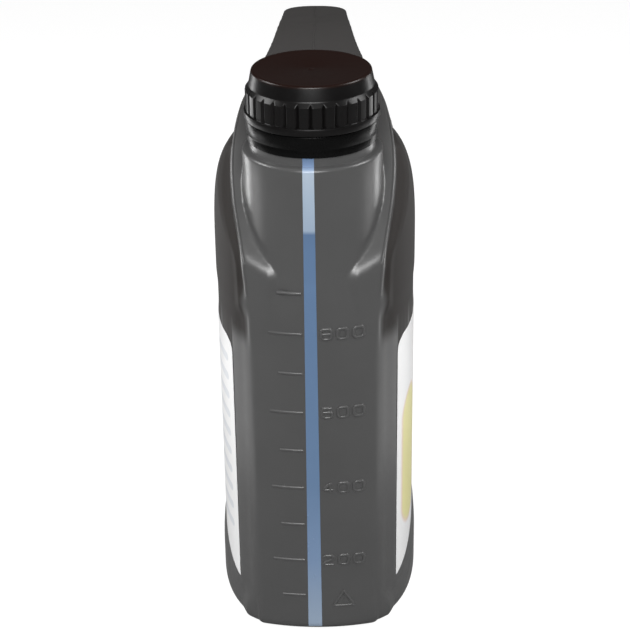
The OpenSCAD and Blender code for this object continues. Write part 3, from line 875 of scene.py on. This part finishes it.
# Sight strip
# A stripe of clear polyethylene run into the front wall as the bottle was blown, flush with the
# wall. The blue fluid behind it shows up to the level, with the empty space paler above.
strip_proud = 0.04
strip = strip_solid("sight_stripe", strip_proud)
bubbles = [(-0.9, 71, 0.3), (-0.85, 49.2, 0.34), (-0.9, 47.6, 0.26), (-0.86, 37.8, 0.3),
           (-0.9, 36.2, 0.24), (-0.1, 39.6, 0.3), (-0.86, 33.6, 0.3), (0, 24.4, 0.26),
           (-0.16, 23.2, 0.22), (-0.88, 19.6, 0.28), (-0.8, 57.4, 0.22)]
for share, z, r in bubbles:
    x = strip_side(z, share)
    spot = placed(x, wall_front(x, z) + r * 0.5, z)
    bpy.ops.object.select_all(action="DESELECT")
    bpy.ops.mesh.primitive_uv_sphere_add(segments=16, ring_count=8, radius=r * MM, location=spot)
    bubble = bpy.context.object
    bpy.ops.object.transform_apply(location=True, rotation=True, scale=True)
    combine(strip, bubble, "UNION")
smoothed(strip, 40)


def height_share(mat, low, high):
    """How far up a place lies between two heights, from 0 to 1."""
    nodes, links = mat.node_tree.nodes, mat.node_tree.links
    place = nodes.new("ShaderNodeTexCoord")
    split = nodes.new("ShaderNodeSeparateXYZ")
    share = nodes.new("ShaderNodeMapRange")
    share.inputs["From Min"].default_value = low * MM
    share.inputs["From Max"].default_value = high * MM
    links.new(place.outputs["Object"], split.inputs["Vector"])
    links.new(split.outputs["Z"], share.inputs["Value"])
    return share.outputs["Result"]


level_z = 155.9
strip_tones = [(2, "#94a4b7"), (14, "#899bb2"), (30, "#768dac"), (62, "#637d9d"), (150, "#5c7799"),
               (level_z, "#597394"), (level_z + 0.7, "#98a9bd"), (168, "#a3b4c5"),
               (176.5, "#aebccb"), (178.2, "#7c92b1"), (strip_end, "#5f789a")]
strip_plastic = moulded("strip_plastic", "#6f87a8", "#7690b2", (0.3, 0.4), 420, 90, 0.004)
nodes, links = strip_plastic.node_tree.nodes, strip_plastic.node_tree.links
ramp = nodes.new("ShaderNodeValToRGB")
while len(ramp.color_ramp.elements) < len(strip_tones):
    ramp.color_ramp.elements.new(1)
for element, (z, tone) in zip(ramp.color_ramp.elements, strip_tones):
    element.position = z / strip_end
    element.color = srgb(tone)
cloud = nodes.new("ShaderNodeMix")
cloud.data_type = "RGBA"
cloud.blend_type = "OVERLAY"
cloud.inputs["Factor"].default_value = 0.03
links.new(height_share(strip_plastic, 0, strip_end), ramp.inputs["Fac"])
links.new(ramp.outputs["Color"], cloud.inputs["A"])
links.new(nodes["tone"].outputs["Result"], cloud.inputs["B"])
links.new(cloud.outputs["Result"], nodes["Principled BSDF"].inputs["Base Color"])
made_of(strip, strip_plastic)
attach(strip, "bottle")
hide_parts("sight_strip")

# Fluid
# A litre of thin blue-tinted oil, filled to just over the foot of the handle; it shows at the mouth
# when the cap is off.
oil = moulded("oil", "#3f5f8c", "#4d6f9c", (0.03, 0.06), 40, 20, 0.05)
oil.node_tree.nodes["Principled BSDF"].inputs["Coat Weight"].default_value = 0.5
made_of(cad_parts["fluid"], oil)

# Labels
# A white polypropylene film on each side panel, its lower edge cut to follow the top of the foot.
# The print is a pale yellow field with a rosy rim, and short grey bars.
label_lift = 0.15
label_t = 0.16
label_top = 110.4
label_gap = 3
label_back = 97.6
label_r = 5
label_steps = 60


def label_film(name, side):
    """A film on one side panel, with round upper corners."""
    n = label_steps
    verts, faces = [], []
    for k in range(n + 1):
        drop = label_top - (label_top - foot_z - label_gap) * k / n
        corner = max(0, label_r - label_top + drop)
        inset = label_r - math.sqrt(label_r ** 2 - corner ** 2)
        for i in range(n + 1):
            y = label_front + inset + (label_back - label_front - 2 * inset) * i / n
            low = foot_at(y) + label_gap
            z = label_top - (label_top - low) * k / n
            verts.append(placed(side * (side_at(y, z) + label_lift), y, z))
    for k in range(n):
        for i in range(n):
            a = k * (n + 1) + i
            faces.append((a, a + 1, a + n + 2, a + n + 1)[::side])
    mesh = bpy.data.meshes.new(name)
    mesh.from_pydata(verts, [], faces)
    film = linked(name, mesh)
    modify(film, "SOLIDIFY", thickness=label_t * MM, offset=-1)
    smoothed(cleaned(film), 40)
    return film


field_sizes = ("Middle Y", "Middle Z", "Half Y", "Half Z", "Corner", "Softness")


def field_group():
    """A soft-edged, round-cornered field on a side panel, placed by its middle and half sizes."""
    group = bpy.data.node_groups.new("rounded_field", "ShaderNodeTree")
    for name in field_sizes:
        group.interface.new_socket(name, in_out="INPUT", socket_type="NodeSocketFloat")
    group.interface.new_socket("Mask", in_out="OUTPUT", socket_type="NodeSocketFloat")
    nodes, links = group.nodes, group.links
    given = nodes.new("NodeGroupInput")
    result = nodes.new("NodeGroupOutput")
    place = nodes.new("ShaderNodeTexCoord")
    split = nodes.new("ShaderNodeSeparateXYZ")
    links.new(place.outputs["Object"], split.inputs["Vector"])

    def maths(operation, *values):
        node = nodes.new("ShaderNodeMath")
        node.operation = operation
        for socket, value in zip(node.inputs, values):
            links.new(value, socket)
        return node.outputs[0]

    past = []
    for axis in ("Y", "Z"):
        off = maths("SUBTRACT", split.outputs[axis], given.outputs["Middle " + axis])
        inner = maths("SUBTRACT", given.outputs["Half " + axis], given.outputs["Corner"])
        over = nodes.new("ShaderNodeMath")
        over.operation = "MAXIMUM"
        over.inputs[1].default_value = 0
        links.new(maths("SUBTRACT", maths("ABSOLUTE", off), inner), over.inputs[0])
        past.append(maths("MULTIPLY", over.outputs[0], over.outputs[0]))
    away = maths("SUBTRACT", maths("SQRT", maths("ADD", *past)), given.outputs["Corner"])
    edge = nodes.new("ShaderNodeMapRange")
    edge.inputs["To Min"].default_value = 1
    edge.inputs["To Max"].default_value = 0
    links.new(away, edge.inputs["Value"])
    links.new(given.outputs["Softness"], edge.inputs["From Max"])
    links.new(edge.outputs["Result"], result.inputs["Mask"])
    return group


rounded_field = field_group()


def printed(name, fields):
    """White film with printed fields: each its middle, half sizes, corner, softness and colour."""
    mat = moulded(name, "#f0f0f0", "#f5f5f5", (0.3, 0.36), 300, 40, 0.0004)
    for y, z, half_y, half_z, corner, softness, colour in fields:
        field = mat.node_tree.nodes.new("ShaderNodeGroup")
        field.node_tree = rounded_field
        sizes = (y - body_d / 2, z, half_y, half_z, corner, softness)
        for key, value in zip(field_sizes, sizes):
            field.inputs[key].default_value = value * MM
        tinted(mat, field.outputs["Mask"], colour)
    return mat


bar_grey = "#dcdfe3"
rosy = "#ecd3c8"
yellow = "#e8e2a0"
left_print = [(26 + reach, 34 + 7.5 * i, 7 + reach, 1.3, 1.3, 0.5, bar_grey)
              for i, reach in enumerate([3, 0, 4, 1, 5, 2, 4, 0, 3, 1])]
left_print += [(70, 72, 19, 19, 19, 2, rosy), (70, 72, 17, 17, 17, 2, yellow)]
right_print = [(29, 58, 9.6, 27, 9.6, 1.6, rosy), (29, 58, 8.2, 25.6, 8.2, 2.2, yellow)]
right_print += [(70, 97 - 8 * i, half, 1.6, 1.6, 0.5, bar_grey)
                for i, half in enumerate([20, 17, 19, 12])]
right_print += [(70, 50, 20, 9, 4, 0.8, "#8fa3bf")]
for name, side, fields in (("label_left", -1, left_print), ("label_right", 1, right_print)):
    film = label_film(name + "_film", side)
    made_of(film, printed(name + "_print", fields))
    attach(film, "bottle")
    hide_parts(name)

# Tamper ring
# A black polypropylene ring that breaks off the cap at the first opening and stays on the neck,
# resting on the ledge by its inner lip.
ring_low = 181.1
ring_top = 188.2
ring_bore_r = 21
ring_low_r = 21.5
ring_top_r = 21.9
ring_edge = 0.15
ring_line_cut = [(0.1, 2.2), (0.02, 2.4), (0.02, 2.7), (0.16, 2.9)]
ring_top_edge = [(0, 0.25), (0.07, 0.07), (0.25, 0)]
lip_r = 19.4
lip_edge = 0.1
lip_gap = 0.02
ring_line = [(ring_bore_r, ring_low + ring_edge), (ring_bore_r + ring_edge, ring_low),
             (ring_low_r - ring_edge, ring_low), (ring_low_r, ring_low + ring_edge)]
ring_line += [(ring_low_r + out, ring_low + up) for out, up in ring_line_cut]
ring_line += [(ring_top_r - inset, ring_top - down) for inset, down in ring_top_edge]
ring_line += [(lip_r + lip_edge, ring_top), (lip_r, ring_top - lip_edge),
              (lip_r, ledge_z + lip_edge), (ring_bore_r, ledge_z + lip_gap),
              (ring_bore_r, ring_low + ring_edge)]
ring = turned("tamper_band", ring_line, 256)
smoothed(ring, 35)
ring_plastic = moulded("ring_plastic", "#050505", "#090909", (0.24, 0.34), 420, 90, 0.003)
ring_plastic.node_tree.nodes["Principled BSDF"].inputs["Specular IOR Level"].default_value = 0.12
made_of(ring, ring_plastic)
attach(ring, "bottle")
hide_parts("tamper_ring")

# Cap liner
# A disc of white closed-cell foam pressed into the cap's roof, which seals on the rim of the mouth.
foam = moulded("foam", "#dedcd4", "#efeee8", (0.7, 0.85), 1800, 300, 0.05)
made_of(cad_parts["cap_liner"], foam)

# Screw cap
# A black polypropylene screw cap with a flat roof, a satin tapered band, a skirt with thirty-two
# grip grooves that run up into the band, and a flange over the tamper ring.
cap_top = 204.2
cap_roof = 2.1
cap_low = 188.5
cap_edge = 0.4
flange_top = 191
flange_edge = 0.35
flange_r = 22.3
skirt_r = 21.65
band_z = 199.4
band_r = 20.5
step_h = 1.6
step_z = band_z - step_h
step_rows = 8
top_r = 19.6
cap_bore_r = 19.1
gate_mark = [(0, 0.12), (0.8, 0.12), (1, 0.3), (2.2, 0.3), (2.4, 0.25)]
top_edge = [(3, 0.22), (1.6, 0.05), (1.1, 0), (0.6, 0), (0.25, 0.08), (0.05, 0.3), (-0.05, 0.6)]
cap_line = [(r, cap_top - down) for r, down in gate_mark]
cap_line += [(top_r - inset, cap_top - down) for inset, down in top_edge]
cap_line += [(band_r - 0.03, band_z + 0.2), (band_r + 0.02, band_z)]
cap_line += [(band_r + (skirt_r - band_r) * i / step_rows, band_z - step_h * i / step_rows)
             for i in range(1, step_rows + 1)]
cap_line += [(skirt_r, step_z - down) for down in (0.25, 1, 3)]
cap_line += [(skirt_r, flange_top + 0.5), (skirt_r, flange_top + 0.12),
             (skirt_r + 0.1, flange_top), (flange_r - flange_edge, flange_top),
             (flange_r - 0.1, flange_top - 0.1), (flange_r, flange_top - flange_edge),
             (flange_r, cap_low + cap_edge), (flange_r - 0.12, cap_low + 0.1),
             (flange_r - cap_edge, cap_low), (cap_bore_r + cap_edge, cap_low),
             (cap_bore_r, cap_low + cap_edge), (cap_bore_r, cap_top - cap_roof),
             (0, cap_top - cap_roof)]
groove_count = 32
groove_depth = 0.75
groove_w = 1.5
groove_in_r = 20
groove_angle = 2 * math.pi / groove_count
cap = turned("cap_shell", cap_line, groove_count * 20)
centre = Vector(placed(0, neck_y, 0)).xy
for v in cap.data.vertices:
    out = Vector(v.co.xy) - centre
    z = v.co.z / MM
    r = out.length / MM
    if r > groove_in_r and flange_top < z < band_z:
        a = math.atan2(out.y, out.x)
        off = abs((a / groove_angle + 0.5) % 1 - 0.5) * groove_angle * skirt_r
        cut_r = skirt_r - groove_depth * (1 - off / groove_w * 2)
        if cut_r < r:
            v.co.xy = centre + out * (cut_r / r)
cap_thread = thread_path(cap_bore_r, thread_r, math.pi, 1.5, 10)
combine(cap, bead("cap_thread", cap_thread, thread_r * 0.8), "UNION")
smoothed(cap, 25)
cap_plastic = moulded("cap_plastic", "#0c0b0b", "#100f0f", (0.28, 0.34), 420, 70, 0.002)
cap_plastic.node_tree.nodes["Principled BSDF"].inputs["Specular IOR Level"].default_value = 0.22
# Painted reflection: the roof is tinted warm brown towards its top, standing in for warm light from
# above.
tinted(cap_plastic, height_share(cap_plastic, cap_top - 1, cap_top - 0.2), "#1c0d09")
made_of(cap, cap_plastic)
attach(cap, "cap")
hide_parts("screw_cap")

# Studio
# A white floor under soft light, with the camera where the photograph was taken from.
# The floor and the world are white to the camera only, so their white doesn't light the bottle.
floor_grey = 0.24
floor_glow = 0.86
world_light = 0.06
bpy.ops.object.select_all(action="DESELECT")
bpy.ops.mesh.primitive_plane_add(size=12, location=(0, 0, 0))
floor = bpy.context.object
floor.name = "floor"
paint = bpy.data.materials.new("floor_paint")
paint.use_nodes = True
nodes, links = paint.node_tree.nodes, paint.node_tree.links
shader = nodes["Principled BSDF"]
shader.inputs["Base Color"].default_value = (floor_grey, floor_grey, floor_grey, 1)
shader.inputs["Roughness"].default_value = 0.9
shader.inputs["Specular IOR Level"].default_value = 0
shader.inputs["Emission Color"].default_value = (1, 1, 1, 1)
seen = nodes.new("ShaderNodeLightPath")
glow = nodes.new("ShaderNodeMath")
glow.operation = "MULTIPLY"
glow.inputs[1].default_value = floor_glow
links.new(seen.outputs["Is Camera Ray"], glow.inputs[0])
links.new(glow.outputs[0], shader.inputs["Emission Strength"])
floor.data.materials.append(paint)

world = bpy.data.worlds.new("studio")
bpy.context.scene.world = world
world.use_nodes = True
nodes, links = world.node_tree.nodes, world.node_tree.links
nodes.clear()
result = nodes.new("ShaderNodeOutputWorld")
seen = nodes.new("ShaderNodeLightPath")
white = nodes.new("ShaderNodeBackground")
white.inputs["Color"].default_value = (1, 1, 1, 1)
dim = nodes.new("ShaderNodeBackground")
dim.inputs["Color"].default_value = (1, 1, 1, 1)
dim.inputs["Strength"].default_value = world_light
mix = nodes.new("ShaderNodeMixShader")
links.new(seen.outputs["Is Camera Ray"], mix.inputs["Fac"])
links.new(dim.outputs[0], mix.inputs[1])
links.new(white.outputs[0], mix.inputs[2])
links.new(mix.outputs[0], result.inputs["Surface"])


def softbox(name, place, target, width, height, power):
    """A soft rectangular lamp turned to a target, which the camera doesn't see."""
    data = bpy.data.lights.new(name, "AREA")
    data.shape = "RECTANGLE"
    data.size = width
    data.size_y = height
    data.energy = power
    lamp = linked(name, data)
    lamp.location = place
    lamp.rotation_euler = (Vector(target) - Vector(place)).to_track_quat("-Z", "Y").to_euler()
    lamp.visible_camera = False


lit_point = (0, 0, 0.1)
softbox("front_top", (0, -1.1, 0.78), lit_point, 0.6, 0.4, 15.5)
softbox("over_top", (0, 0.1, 1.4), lit_point, 1.2, 0.9, 2)
for name, x, power in (("side_left", -0.75, 4.8), ("side_right", 0.75, 4.4)):
    softbox(name, (x, 0, 0.62), lit_point, 0.35, 0.35, power)
for name, x, power in (("band_left", -0.27, 0.3), ("band_right", 0.27, 0.22)):
    softbox(name, (x, 0.175, 0.1), (0, -0.04, 0.14), 0.06, 0.2, power)
for name, x, to_x, power in (("low_left", -0.31, -0.2, 0.13), ("low_right", 0.31, 0.2, 0.09)):
    softbox(name, (x, 0.03, 0.01), (to_x, 0, 0.3), 0.12, 0.2, power)
for name, x in (("floor_left", -0.17), ("floor_right", 0.17)):
    softbox(name, (x, 0.02, 0.005), (x, 0.02, 1), 0.12, 0.22, 0.05)

camera_place = (0.0115, -0.585, 0.3824)
tilt = math.radians(25.98)
yaw = math.radians(1.2)
roll = math.radians(-0.85)
focal_px = 1771
image_px = 630
camera_data = bpy.data.cameras.new("camera")
camera_data.sensor_width = 36
camera_data.lens = focal_px / image_px * camera_data.sensor_width
camera = linked("camera", camera_data)
turn = Matrix.Rotation(yaw, 4, "Z")
turn = turn @ Matrix.Rotation(math.pi / 2 - tilt, 4, "X") @ Matrix.Rotation(roll, 4, "Z")
camera.matrix_world = Matrix.Translation(camera_place) @ turn
bpy.context.scene.camera = camera
bpy.context.scene.view_settings.view_transform = "Standard"
